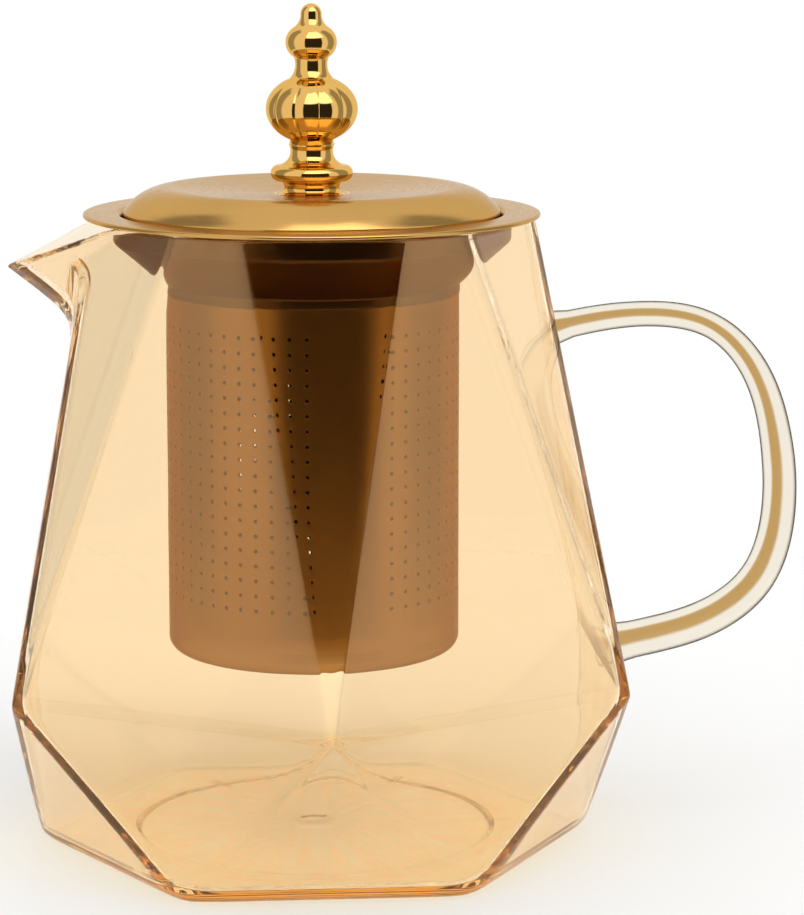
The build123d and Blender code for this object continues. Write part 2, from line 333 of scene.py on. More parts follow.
def with_lustre(nodes, glass, place):
    """The glass with its plating. Near the belt it also has a painted glow: an emission on the outer wall
    that no lamp lights.
    """
    geometry = nodes.add("ShaderNodeNewGeometry")
    normal = geometry.outputs["Normal"]
    facing = nodes.vector("DOT_PRODUCT", normal, geometry.outputs["Incoming"])
    # only rays that meet the outer wall from outside: its normal points away from the axis
    outward = nodes.vector("DOT_PRODUCT", normal, nodes.vector("MULTIPLY", place, (1, 1, 0)))
    outside = nodes.math("GREATER_THAN", outward, 0.0)
    slanted = nodes.math("MULTIPLY", nodes.ramp(facing, *LUSTRE_FACING, 1.0, 0.0), LUSTRE_SHARE)
    plated = nodes.math("MULTIPLY", slanted, outside)
    plating = nodes.add("ShaderNodeBsdfGlossy", {"Color": LUSTRE_COLOUR, "Roughness": 0.03}).outputs[0]
    surface = nodes.add("ShaderNodeMixShader", {0: plated, 1: glass, 2: plating}).outputs[0]
    height = nodes.add("ShaderNodeSeparateXYZ", {0: place}).outputs[2]
    # painted glow: emission on the outer wall just above the belt, fading out higher up
    painted_glow_share = nodes.math("MULTIPLY", nodes.ramp(facing, *LUSTRE_FACING),
                          nodes.ramp(height, *PAINTED_GLOW_FADE_Z, 1.0, 0.0))
    painted_glow_share = nodes.math("MULTIPLY", painted_glow_share, outside)
    painted_glow_share = nodes.math("MULTIPLY", painted_glow_share, nodes.ramp(height, *PAINTED_GLOW_BELT_Z))
    painted_belt_glow = nodes.add("ShaderNodeEmission", {
        "Color": PAINTED_GLOW_COLOUR, "Strength": nodes.math("MULTIPLY", painted_glow_share, LUSTRE_SHARE)}).outputs[0]
    return nodes.add("ShaderNodeAddShader", {0: surface, 1: painted_belt_glow}).outputs[0]


def glass_material(name, tint, glare, depth_colour, density):
    """Clear glass, tinted at its surface and through its depth, with gentle waves.

    glare colours what the glass reflects. A thin amber plating on the outside, the lustre, reflects more
    when it is seen at a slant.
    """
    material, nodes = new_material(name)
    place = object_position(nodes)
    waves = nodes.noise(place, 55.0, detail=1.0)
    drift = nodes.noise(place, 18.0, detail=2.0)
    normal = nodes.bump(waves, 0.00006)
    glass = nodes.add("ShaderNodeBsdfPrincipled", {
        "Base Color": tint,
        "Roughness": nodes.ramp(drift, 0.3, 0.7, 0.0, 0.01),
        "IOR": GLASS_IOR,
        "Specular Tint": glare,
        "Transmission Weight": 1.0,
        "Normal": normal,
    }).outputs[0]
    surface = with_lustre(nodes, glass, place)
    rays = nodes.add("ShaderNodeLightPath")
    passing = nodes.math("MAXIMUM", rays.outputs["Is Shadow Ray"], rays.outputs["Is Diffuse Ray"])
    clear = nodes.add("ShaderNodeBsdfTransparent", {"Color": (1.0, 0.99, 0.97, 1)}).outputs[0]
    surface = nodes.add("ShaderNodeMixShader", {0: passing, 1: surface, 2: clear}).outputs[0]
    depth = nodes.add("ShaderNodeVolumeAbsorption", {"Color": depth_colour, "Density": density}).outputs[0]
    nodes.add("ShaderNodeOutputMaterial", {"Surface": surface, "Volume": depth})
    return material


def rod_glass_material():
    """Pale glass rod against the light, with painted shading set by the slant at which it is seen: a painted
    golden core, a pale body and a painted dark outline where it curves away.
    """
    material, nodes = new_material("handle_glass_painted_shading")
    place = object_position(nodes)
    normal = nodes.bump(nodes.noise(place, 120.0, detail=1.0), 0.00008)
    geometry = nodes.add("ShaderNodeNewGeometry")
    facing = nodes.vector("DOT_PRODUCT", normal, geometry.outputs["Incoming"])
    drift = nodes.math("MULTIPLY_ADD", nodes.noise(place, 70.0), 0.06, -0.03)
    facing = nodes.math("ADD", facing, drift)
    # painted shade at the rod's edges and a painted golden core in its middle, chosen by slant instead of by
    # refraction
    body = nodes.mix_colour(nodes.ramp(facing, 0.16, 0.46), ROD_PAINTED_DARK_EDGE, ROD_BODY)
    painted_core = nodes.mix_colour(nodes.ramp(facing, 0.80, 0.93), body, ROD_PAINTED_CORE)
    far_side = nodes.mix_colour(geometry.outputs["Backfacing"], painted_core, (1, 1, 1, 1))
    through = nodes.add("ShaderNodeBsdfTransparent", {"Color": far_side}).outputs[0]
    glints = nodes.noise(place, 500.0)
    shine = nodes.add("ShaderNodeBsdfGlossy", {
        "Color": (1, 0.98, 0.93, 1),
        "Roughness": nodes.ramp(glints, 0.3, 0.7, 0.02, 0.05),
        "Normal": normal,
    }).outputs[0]
    share = nodes.add("ShaderNodeFresnel", {"IOR": GLASS_IOR, "Normal": normal}).outputs[0]
    share = nodes.math("MULTIPLY", share, nodes.math("SUBTRACT", 1.0, geometry.outputs["Backfacing"]))
    share = nodes.math("MULTIPLY", share, ROD_SHINE)
    surface = nodes.add("ShaderNodeMixShader", {0: share, 1: through, 2: shine})
    nodes.add("ShaderNodeOutputMaterial", {"Surface": surface.outputs[0]})
    return material


def ring_coordinates(nodes, around):
    """Object position with its angle about the axis stretched out, so that noise runs in rings."""
    parts = nodes.add("ShaderNodeSeparateXYZ", {0: object_position(nodes)})
    x, y, z = parts.outputs
    radius = nodes.math("SQRT", nodes.math("ADD", nodes.math("MULTIPLY", x, x), nodes.math("MULTIPLY", y, y)))
    angle = nodes.math("MULTIPLY", nodes.math("ARCTAN2", y, x), around)
    return nodes.add("ShaderNodeCombineXYZ", {0: radius, 1: angle, 2: z}).outputs[0]


def metal_material(name, colour, shade, roughness, brushing, grazing=(0.8, 0.7, 0.55, 1)):
    """Plated metal with turned or brushed rings. shade is a second colour that drifts through the first."""
    material, nodes = new_material(name)
    rings = ring_coordinates(nodes, around=0.002)
    fine = nodes.noise(rings, 2600.0, detail=2.0, roughness=0.6)
    broad = nodes.noise(object_position(nodes), 38.0, detail=3.0)
    specks = nodes.noise(object_position(nodes), 900.0, detail=2.0)
    colours = nodes.mix_colour(nodes.ramp(broad, 0.3, 0.7), colour, shade)
    low, high = roughness
    uneven = nodes.math("ADD", nodes.math("MULTIPLY", fine, 0.7), nodes.math("MULTIPLY", specks, 0.3))
    metal = nodes.add("ShaderNodeBsdfPrincipled", {
        "Base Color": colours,
        "Metallic": 1.0,
        "Roughness": nodes.ramp(uneven, 0.3, 0.7, low, high),
        "Specular Tint": grazing,
        "Normal": nodes.bump(fine, brushing),
    }).outputs[0]
    nodes.add("ShaderNodeOutputMaterial", {"Surface": metal})
    return material


def silicone_material():
    material, nodes = new_material("silicone_milky")
    place = object_position(nodes)
    cloud = nodes.noise(place, 260.0, detail=3.0)
    grain = nodes.noise(place, 3200.0, detail=2.0)
    rubber = nodes.add("ShaderNodeBsdfPrincipled", {
        "Base Color": nodes.mix_colour(cloud, (0.72, 0.70, 0.65, 1), (0.80, 0.78, 0.74, 1)),
        "Roughness": nodes.ramp(grain, 0.2, 0.8, 0.42, 0.6),
        "Subsurface Weight": 0.25,
        "Subsurface Radius": (0.002, 0.0018, 0.0015),
        "Subsurface Scale": 1.0,
        "Normal": nodes.bump(grain, 0.00002),
    }).outputs[0]
    nodes.add("ShaderNodeOutputMaterial", {"Surface": rubber})
    return material


GLASS_IOR = 1.33                          # low for glass, so that the wall bends the view only a little
LUSTRE_FACING = (0.90, 0.985)             # cosines of the slants between which the lustre fades out
LUSTRE_COLOUR = (1.0, 0.60, 0.29, 1)
LUSTRE_SHARE = 0.12
PAINTED_GLOW_FADE_Z = (0.050, 0.055)           # heights in metres between which the painted glow fades out
PAINTED_GLOW_BELT_Z = (0.0355, 0.0375)
# colour of the painted glow just above the belt
PAINTED_GLOW_COLOUR = (1.0, 0.55, 0.18, 1)
# colours of the handle rod by slant: painted dark edge, pale body, painted golden core
ROD_PAINTED_DARK_EDGE = (0.10, 0.08, 0.06, 1)
ROD_BODY = (0.90, 0.84, 0.72, 1)
ROD_PAINTED_CORE = (0.55, 0.34, 0.12, 1)
ROD_SHINE = 0.6                           # share of a full glass reflection
POT_GLASS = glass_material(
    "pot_amber_glass", tint=(1.0, 0.91, 0.75, 1), glare=(1.0, 0.72, 0.42, 1),
    depth_colour=(0.97, 0.73, 0.22, 1), density=36.0)
HANDLE_GLASS = rod_glass_material()
GOLD_SATIN = metal_material(
    "gold_satin_spun", colour=(0.62, 0.36, 0.11, 1), shade=(0.57, 0.33, 0.10, 1), roughness=(0.15, 0.24),
    brushing=6e-7)
GOLD_POLISHED = metal_material(
    "gold_mirror", colour=(0.82, 0.50, 0.15, 1), shade=(0.78, 0.47, 0.13, 1), roughness=(0.03, 0.07),
    brushing=1e-7, grazing=(0.9, 0.75, 0.5, 1))
BRONZE_SHEET = metal_material(
    "bronze_satin_sheet", colour=(0.30, 0.125, 0.025, 1), shade=(0.265, 0.11, 0.022, 1),
    roughness=(0.28, 0.33), brushing=1e-7, grazing=(0.5, 0.32, 0.16, 1))
# a dark copy of the bronze sheet: painted shade for the tube's inside and for the collar below the flange
BRONZE_PAINTED_SHADE = metal_material(
    "bronze_painted_shade", colour=(0.10, 0.042, 0.012, 1), shade=(0.085, 0.036, 0.010, 1), roughness=(0.3, 0.36),
    brushing=1e-7, grazing=(0.4, 0.26, 0.14, 1))
INNER_STEEL = metal_material(
    "inner_steel", colour=(0.60, 0.58, 0.55, 1), shade=(0.52, 0.50, 0.48, 1), roughness=(0.2, 0.34),
    brushing=6e-7, grazing=(1, 1, 1, 1))
SILICONE = silicone_material()


# ---------------------------------------------------------------- glass pot

COS30 = math.cos(math.radians(30))
RIM_SIDE = MOUTH_R * math.cos(math.radians(30 - FACET_HALF_ANGLE))   # axis to a side facet at the rim
RIM_CORNER = MOUTH_R * math.cos(math.radians(FACET_HALF_ANGLE))     # axis to a corner facet at the rim
RISE = MOUTH_Z - BELT_Z

# Each ring of facets: azimuth of the first, distance from the axis at the belt, its growth with height
FACET_RINGS = {
    "side": (0, BELT_R * COS30, (RIM_SIDE - BELT_R * COS30) / RISE),
    "corner": (30, BELT_R, (RIM_CORNER - BELT_R) / RISE),
    "under_side": (0, BELT_R * COS30, (BELT_R * COS30 - FOOT_R) / BELT_Z),
    "under_corner": (30, BELT_R, (BELT_R - FOOT_R * COS30) / BELT_Z),
}
WALL_INSET = {"side": 2.03, "corner": 2.1, "under_side": 2.32, "under_corner": 2.66}

HALF_SECTOR_COLUMNS = 10      # columns of the mesh between a facet's middle and its edge
LEAST_FACET_ANGLE = 1.2
INNER_SOFTNESS = 0.4          # how gently the facets of the inner wall run into each other


def facet_distance(ring, z, inset=0.0):
    azimuth, at_belt, growth = FACET_RINGS[ring]
    return at_belt + growth * (z - BELT_Z) - inset


def crease_angle(z):
    """Angle from the middle of a side facet to its edge, at height z."""
    upper = facet_distance("corner", z) / facet_distance("side", z)
    lower = facet_distance("under_corner", z) / facet_distance("under_side", z)
    ratio = np.where(z >= BELT_Z, upper, lower)
    angle = np.degrees(np.arctan((ratio - COS30) * 2))
    return np.clip(angle, LEAST_FACET_ANGLE, 30 - LEAST_FACET_ANGLE)


def column_azimuths(z):
    """Azimuths in degrees of one ring of the mesh, bunched beside the creases at this height."""
    crease = float(crease_angle(np.array(z)))
    share = np.sin(np.linspace(0, math.pi / 2, HALF_SECTOR_COLUMNS + 1))[:-1]
    to_crease = share * crease
    from_crease = np.concatenate([[crease], 30 - (30 - crease) * share[:0:-1]])
    half = np.concatenate([to_crease, from_crease])
    mirrored = 60 - np.concatenate([[30.0], half[:0:-1]])
    sector = np.concatenate([half, mirrored])
    return np.concatenate([sector + 60 * k for k in range(6)])


def soft_least(distances, softness):
    """The least of several distances, with the corner between them rounded."""
    nearest = np.min(distances, axis=0)
    return nearest - softness * np.log(np.sum(np.exp(-(distances - nearest) / softness), axis=0))


def faceted_radius(azimuth, z, insets, softness):
    """Distance from the axis to the faceted wall, for arrays of azimuths in degrees and heights."""
    distances = []
    for ring, (first, _, _) in FACET_RINGS.items():
        for k in range(6):
            facing = np.cos(np.radians(azimuth - first - 60 * k))
            distance = facet_distance(ring, z, insets.get(ring, 0.0))
            distances.append(np.where(facing > 0.3, distance / np.maximum(facing, 0.3), 1e3))
    return soft_least(np.array(distances), softness)


def lip_radius(azimuth, z, shift, grow):
    """Distance from the axis to the two keel faces of the lip, or a small number away from the lip."""
    slope = (MOUTH_Z - LIP_TIP[1]) / (LIP_WING[0] - LIP_TIP[0])
    offset = np.array([shift, 0, shift * slope])
    root = np.array([LIP_ROOT[0], 0, LIP_ROOT[1]]) + offset
    tip = root + grow * (np.array([LIP_TIP[0], 0, LIP_TIP[1]]) + offset - root)
    side = root + grow * (np.array([LIP_WING[0], LIP_WING[1], MOUTH_Z]) + offset - root)
    normal = np.cross(tip - root, side - root)
    normal /= np.linalg.norm(normal)
    level = normal @ root
    directions = np.radians(azimuth)
    facing = normal[0] * np.cos(directions) + normal[1] * np.abs(np.sin(directions))
    sign = np.sign(level - normal[2] * z)
    safe_facing = np.where(np.abs(facing) < 0.02, 0.02, facing)
    reach = np.where(facing * sign > 0.02, (level - normal[2] * z) / safe_facing, 0)
    return np.where(np.cos(directions) < -0.5, reach, 0)


def lip_drop(azimuth):
    """How far the pot's top edge falls below the rim, from nothing at the wings to the most at the tip."""
    across = np.abs(np.tan(np.radians(azimuth - 180)))
    toward_tip = (LIP_WING[1] + LIP_WING[0] * across) / (LIP_WING[1] - (LIP_TIP[0] - LIP_WING[0]) * across)
    toward_tip = np.where(np.cos(np.radians(azimuth)) < -0.5, toward_tip, -1)
    soft = 0.04
    toward_tip = soft * np.log1p(np.exp(np.clip(toward_tip, -1, 1) / soft))
    return (MOUTH_Z - LIP_TIP[1]) * toward_tip


def wall_radius(azimuth, z, inside):
    """Radius of the outer or the inner wall, lip included."""
    if inside:
        body = faceted_radius(azimuth, z, WALL_INSET, INNER_SOFTNESS)
        lip = lip_radius(azimuth, z, LIP_WALL, LIP_HOLLOW_GROWTH)
    else:
        body = faceted_radius(azimuth, z, {}, 0.2 + np.exp(-z / 8))
        lip = lip_radius(azimuth, z, 0.0, 1.0)
    return -soft_least(np.array([-body, -lip]), LIP_JOIN)


def ring_points(azimuth, radius, z):
    turn = np.radians(azimuth)
    return np.stack([radius * np.cos(turn), radius * np.sin(turn), np.broadcast_to(z, azimuth.shape)], 1)


def round_ring(radius, z):
    azimuth = column_azimuths(0.0)
    return ring_points(azimuth, np.full(len(azimuth), float(radius)), z)


def wall_ring(level, inside, pull=0.0, azimuth_level=None):
    """One ring of the outer or the inner wall, moved in by pull. Near the rim it dips towards the lip."""
    azimuth = column_azimuths(level if azimuth_level is None else azimuth_level)
    dip = max(0.0, (level - LIP_FALL_START) / (MOUTH_Z - LIP_FALL_START))
    z = level - lip_drop(azimuth) * dip
    return ring_points(azimuth, wall_radius(azimuth, z, inside) - pull, z)


def bunched(low, high, count):
    """Values from low to high, closer together at both ends."""
    return low + (high - low) * (1 - np.cos(np.linspace(0, math.pi, count))) / 2


def underside_rings():
    """From the middle of the recess to the start of the rounded edge of the base."""
    azimuth = column_azimuths(0.0)
    ledge = RECESS_PROFILE[-1][0]
    flat_end = wall_radius(azimuth, np.zeros(len(azimuth)), inside=False) - BASE_ROUND
    rings = [round_ring(radius, z) for radius, z in RECESS_PROFILE]
    for share in (0.25, 0.6, 0.9, 1.0):
        rings.append(ring_points(azimuth, ledge + (flat_end - ledge) * share, 0.0))
    return rings


def outer_rings():
    """Up the outside, from the rounded edge of the base to the rim."""
    rings = []
    for turn in np.linspace(0, math.pi / 2, 7)[1:]:
        rings.append(wall_ring(BASE_ROUND * (1 - math.cos(turn)), False, BASE_ROUND * (1 - math.sin(turn))))
    levels = list(bunched(BASE_ROUND, BELT_Z, 24)[1:-1])
    levels += list(bunched(BELT_Z, MOUTH_Z - RIM_WALL / 2, 50))
    return rings + [wall_ring(level, False) for level in levels]


def rim_rings():
    """Over the rounded rim, from the outer wall to the inner."""
    level = MOUTH_Z - RIM_WALL / 2
    outer, inner = wall_ring(level, False), wall_ring(level, True)
    rings = []
    for turn in np.linspace(0, math.pi, 9)[1:-1]:
        ring = (outer + inner) / 2 + (outer - inner) / 2 * math.cos(turn)
        ring[:, 2] = outer[:, 2] + RIM_WALL / 2 * math.sin(turn)
        rings.append(ring)
    return rings


def inner_rings():
    """Down the inside, round the corner of the floor and across it to its middle."""
    corner = FLOOR_Z + FLOOR_ROUND
    levels = list(bunched(BELT_Z, MOUTH_Z - RIM_WALL / 2, 50)[::-1])
    levels += list(bunched(corner, BELT_Z, 16)[::-1][1:])
    rings = [wall_ring(level, True) for level in levels]
    for turn in np.linspace(0, math.pi / 2, 13)[1:]:
        level = corner - FLOOR_ROUND * math.sin(turn)
        rings.append(wall_ring(level, True, FLOOR_ROUND * (1 - math.cos(turn)), azimuth_level=FLOOR_Z))
    floor_edge = rings[-1]
    rings += [floor_edge * (share, share, 1) for share in (0.9, 0.75, 0.55, 0.35, 0.2, 0.13)]
    return rings + [round_ring(radius, FLOOR_Z + height) for radius, height in FLOOR_MARK]


def pot_mesh():
    """The pot as one closed skin, from the middle of its underside over the rim to its floor."""
    rings = underside_rings() + outer_rings() + rim_rings() + inner_rings()
    columns = len(rings[0])
    faces = grid_faces(len(rings), columns, closed_rows=False)
    middles = [(0, 0, RECESS_DEPTH), (0, 0, FLOOR_Z + FLOOR_MARK[-1][1])]
    vertices = np.concatenate(rings + [middles])
    under, over = len(vertices) - 2, len(vertices) - 1
    last = (len(rings) - 1) * columns
    for column in range(columns):
        following = (column + 1) % columns
        faces.append((under, following, column))
        faces.append((over, last + column, last + following))
    return vertices, faces


def pot_piece():
    vertices, faces = pot_mesh()
    return new_piece("pot_glass_wall", vertices, faces, "pot", POT_GLASS, "glass_body")


# ---------------------------------------------------------------- handle

def spline_points(points, steps):
    """Points of a smooth curve through the given points, evenly spaced along it."""
    points = np.array(points, float)
    chord = np.concatenate([[0], np.cumsum(np.linalg.norm(np.diff(points, axis=0), axis=1))])
    count = len(points)
    system = np.zeros((count, count))
    right = np.zeros((count, 2))
    gaps = np.diff(chord)
    for i in range(1, count - 1):
        system[i, i - 1:i + 2] = (gaps[i - 1], 2 * (gaps[i - 1] + gaps[i]), gaps[i])
        right[i] = 6 * ((points[i + 1] - points[i]) / gaps[i] - (points[i] - points[i - 1]) / gaps[i - 1])
    system[0, 0] = system[-1, -1] = 1
    bend = np.linalg.solve(system, right)
    fine = np.linspace(0, chord[-1], 4000)
    span = np.clip(np.searchsorted(chord, fine, side="right") - 1, 0, count - 2)
    gap, before = gaps[span][:, None], (fine - chord[span])[:, None]
    after = gap - before
    curve = (bend[span] * after ** 3 + bend[span + 1] * before ** 3) / (6 * gap)
    curve += (points[span] / gap - bend[span] * gap / 6) * after
    curve += (points[span + 1] / gap - bend[span + 1] * gap / 6) * before
    length = np.concatenate([[0], np.cumsum(np.linalg.norm(np.diff(curve, axis=0), axis=1))])
    even = np.interp(np.linspace(0, length[-1], steps), length, np.arange(len(curve)))
    low = np.floor(even).astype(int).clip(0, len(curve) - 2)
    share = (even - low)[:, None]
    return curve[low] * (1 - share) + curve[low + 1] * share


def handle_ring(point, along, height, width):
    """An oval section of the rod, and how far out the pot's wall lies at each of its points."""
    turn = circle_angles(HANDLE_SEGMENTS)
    up = height / 2 * np.sin(turn)
    across = width / 2 * np.cos(turn)
    x = point[0] - along[1] * up
    z = point[1] + along[0] * up
    wall = np.minimum(facet_distance("side", z), facet_distance("under_side", z)) + HANDLE_STAND_OFF
    return x, across, z, wall


def handle_piece():
    """The rod, with each end pressed flat against the wall."""
    path = spline_points(HANDLE_PATH, HANDLE_STEPS)
    along = np.gradient(path, axis=0)
    along /= np.linalg.norm(along, axis=1)[:, None]
    table = np.array(HANDLE_SECTIONS)
    places = np.linspace(0, 1, HANDLE_STEPS)
    heights = np.interp(places, table[:, 0], table[:, 1])
    widths = np.interp(places, table[:, 0], table[:, 2])
    vertices = []
    for section in zip(path, along, heights, widths):
        x, y, z, wall = handle_ring(*section)
        if np.any(x > wall):
            vertices += list(np.stack([np.maximum(x, wall), y, z], 1))
    rows = len(vertices) // HANDLE_SEGMENTS
    faces = [face[::-1] for face in grid_faces(rows, HANDLE_SEGMENTS, closed_rows=False)]
    faces.append(tuple(range(HANDLE_SEGMENTS)))
    faces.append(tuple(range(rows * HANDLE_SEGMENTS - 1, (rows - 1) * HANDLE_SEGMENTS - 1, -1)))
    return new_piece("handle_rod", vertices, faces, "pot", HANDLE_GLASS, "handle")


# ---------------------------------------------------------------- infuser

def collar_piece():
    """Flange, cup and shoulder of one sheet: satin gold on the flange, painted shade in dark bronze below it.
    """
    half = CUP_SHEET / 2
    flange_z = COLLAR_HIGH.z - half
    cup_r = CUP_BORE_R + half
    tube_mid = TUBE_R - TUBE_SHEET / 2
    shoulder_end = SHOULDER_TOP_Z - SHOULDER_SLOPE * (cup_r - tube_mid)
    line = rounded([
        (FLANGE_R - half, flange_z), (cup_r, flange_z), (cup_r, SHOULDER_TOP_Z),
        (tube_mid, shoulder_end), (tube_mid, TUBE_HIGH.z - COLLAR_END_GAP),
    ], COLLAR_BENDS, steps=6)
    vertices, faces = lathe(sheet(line, CUP_SHEET), 192)
    piece = new_piece("infuser_collar_spun", vertices, faces, "infuser", GOLD_SATIN,
                      "infuser_collar")
    piece.data.materials.append(BRONZE_PAINTED_SHADE)
    # painted shade: the sheet below the flange gets the dark copy of the bronze
    for face in piece.data.polygons:
        if face.center.z < (flange_z - FLANGE_GOLD_DEPTH) * MM:
            face.material_index = 1
    return piece


def square_edge(side_points):
    """Points round a unit square from -1 to 1, anticlockwise from the lower left corner."""
    run = np.linspace(-1, 1, side_points + 1)[:-1]
    return ([(u, -1.0) for u in run] + [(1.0, u) for u in run]
            + [(-u, 1.0) for u in run] + [(-1.0, -u) for u in run])


def tube_piece():
    """The round tube. Each hole has its own square of sheet with a burnished edge and a wall of its own."""
    step = 360 / COLUMNS
    seam_end = SEAM_ANGLE + step * (SEAM_COLUMNS / 2 + 0.5)
    cell_half = HOLE_PITCH / 2
    edge = square_edge(3)
    vertices, faces = [], []

    def point(angle, z, radius):
        turn = math.radians(angle)
        vertices.append((radius * math.cos(turn), radius * math.sin(turn), z))
        return len(vertices) - 1

    inner_r = TUBE_R - TUBE_SHEET
    rim_r = HOLE_R + HOLE_RIM_WIDTH
    # (radius of the ring round the hole, distance from the axis); None is the edge of the hole's square
    sizes = ((None, TUBE_R), (rim_r, TUBE_R), (HOLE_R, TUBE_R - HOLE_RIM_DROP), (HOLE_R, inner_r),
             (None, inner_r))
    for column in range(COLUMNS - SEAM_COLUMNS):
        middle = seam_end + column * step
        for row in range(HOLE_ROWS):
            z = FIRST_ROW_Z + row * HOLE_PITCH
            rings = []
            for size, radius in sizes:
                ring = []
                for u, v in edge:
                    if size is None:
                        across, up = u * step / 2, v * cell_half
                    else:
                        length = math.hypot(u, v)
                        across = math.degrees(size * u / length / TUBE_R)
                        up = size * v / length
                    ring.append(point(middle + across, z + up, radius))
                rings.append(ring)
            for here, there in zip(rings, rings[1:]):
                for k in range(len(edge)):
                    n = (k + 1) % len(edge)
                    faces.append((here[k], here[n], there[n], there[k]))
    low, high = FIRST_ROW_Z - cell_half, FIRST_ROW_Z + (HOLE_ROWS - 0.5) * HOLE_PITCH

    def plain(start_angle, columns, z_values):
        """A stretch of sheet without holes, outside and inside, between given heights."""
        for radius, order in ((TUBE_R, 1), (inner_r, -1)):
            angles = [start_angle + step / 3 * k for k in range(columns * 3 + 1)]
            grid = [[point(a, z, radius) for a in angles] for z in z_values]
            for r in range(len(grid) - 1):
                for c in range(len(angles) - 1):
                    quad = (grid[r][c], grid[r][c + 1], grid[r + 1][c + 1], grid[r + 1][c])
                    faces.append(quad[::order])

    first_edge = seam_end - step / 2
    rows_z = [low + HOLE_PITCH / 3 * k for k in range(HOLE_ROWS * 3 + 1)]
    plain(first_edge + (COLUMNS - SEAM_COLUMNS) * step, SEAM_COLUMNS, rows_z)
    plain(first_edge, COLUMNS, [TUBE_LOW.z, (TUBE_LOW.z + low) / 2, low])
    plain(first_edge, COLUMNS, [high, (TUBE_HIGH.z + high) / 2, TUBE_HIGH.z])
    for z, order in ((TUBE_LOW.z, -1), (TUBE_HIGH.z, 1)):
        ring = [first_edge + step / 3 * k for k in range(COLUMNS * 3)]
        outside = [point(a, z, TUBE_R) for a in ring]
        inside = [point(a, z, inner_r) for a in ring]
        for k in range(len(ring)):
            n = (k + 1) % len(ring)
            faces.append((outside[k], outside[n], inside[n], inside[k])[::order])
    piece = new_piece("infuser_tube_perforated", vertices, faces, "infuser", BRONZE_SHEET,
                      "infuser_tube")
    weld_close_points(piece, 0.002)
    piece.data.materials.append(BRONZE_PAINTED_SHADE)
    # painted shade: the inside of the tube gets the dark copy of the bronze
    for face in piece.data.polygons:
        if face.center.xy.length < (TUBE_R - TUBE_OUTSIDE_DEPTH) * MM:
            face.material_index = 1
    return piece


def weld_close_points(piece, reach):
    mesh = bmesh.new()
    mesh.from_mesh(piece.data)
    bmesh.ops.remove_doubles(mesh, verts=mesh.verts, dist=reach * MM)
    mesh.to_mesh(piece.data)
    mesh.free()
    piece.data.shade_smooth()


# ---------------------------------------------------------------- lid

def dome_piece():
    """Dished crown, rounded shoulder and upright edge of one sheet, with a hole for the screw."""
    half = DOME_SHEET / 2
    crown = [(r, CROWN_CENTRE_Z - half + (CREST[1] - CROWN_CENTRE_Z) * r / CREST[0])
             for r in np.linspace(SCREW_HOLE_R, CREST[0], 24)]
    start = crown[-1]
    end = (DOME_R - half, DOME_EDGE_Z + DOME_LIP)
    # the shoulder is an arc that leaves the crown along it and meets the top of the upright edge
    lean = -math.atan2(CREST[1] - CROWN_CENTRE_Z, CREST[0])
    chord = math.atan2(start[1] - end[1], end[0] - start[0])
    radius = math.dist(start, end) / (2 * math.sin(chord - lean))
    centre = (start[0] - radius * math.sin(lean), start[1] - radius * math.cos(lean))
    turns = lean + 2 * (chord - lean) * np.linspace(0, 1, 21)[1:]
    shoulder = [(centre[0] + radius * math.sin(t), centre[1] + radius * math.cos(t)) for t in turns]
    edge = rounded([shoulder[-2], end, (end[0], DOME_EDGE_Z + half)], 0.25)
    vertices, faces = lathe(sheet(crown + shoulder[:-2] + edge, DOME_SHEET)[::-1], 192)
    return new_piece("lid_dome_spun", vertices, faces, "lid", GOLD_SATIN, "lid_dome")


def lobe_swell(angles, radius, z):
    """Rounded upright lobes on the ball, fading out above and below."""
    height = (z - BALL_Z) / BALL_HALF_HEIGHT
    if abs(height) >= 1:
        return np.full(len(angles), radius)
    fade = min(1.0, (1 - abs(height)) / 0.25)
    fade = fade * fade * (3 - 2 * fade)
    phase = (np.degrees(angles) - LOBE_GROOVE_ANGLE) % (360 / LOBES) / (360 / LOBES)
    groove = 1 - np.sqrt(np.maximum(0, np.sin(math.pi * phase)))
    return radius - LOBE_DEPTH * fade * groove * radius / BALL_R


def mouldings(arcs):
    """Points along arcs that follow one another, each without its first point."""
    points = []
    for steps, *arc in arcs:
        points += arc_through(*[(radius, KNOB_FOOT_Z + height) for radius, height in arc], steps)[1:]
    return points


def knob_outline():
    """The knob's outline from the middle of its foot to the top of its spire."""
    ball_turns = np.radians(np.linspace(-BALL_END_ANGLE, BALL_END_ANGLE, 48))
    tip_turns = np.linspace(0, math.pi / 2, 10)[1:]
    points = [(0, KNOB_FOOT_Z), (KNOB_FOOT_R, KNOB_FOOT_Z)]
    points += mouldings(MOULDINGS_BELOW_BALL)
    points += [(BALL_R * math.cos(a), BALL_Z + BALL_HALF_HEIGHT * math.sin(a)) for a in ball_turns]
    points += [BALL_TOP]
    points += mouldings(MOULDINGS_ABOVE_BALL)
    points += [(TIP_R * math.cos(a), KNOB_TOP_Z - TIP_R + TIP_R * math.sin(a)) for a in tip_turns]
    return points


def knob_piece():
    vertices, faces = lathe(knob_outline(), 264, swell=lobe_swell)
    return new_piece("knob_turned", vertices, faces, "lid", GOLD_POLISHED, "knob")


# ---------------------------------------------------------------- stage, light, camera

FLOOR_R = 0.34


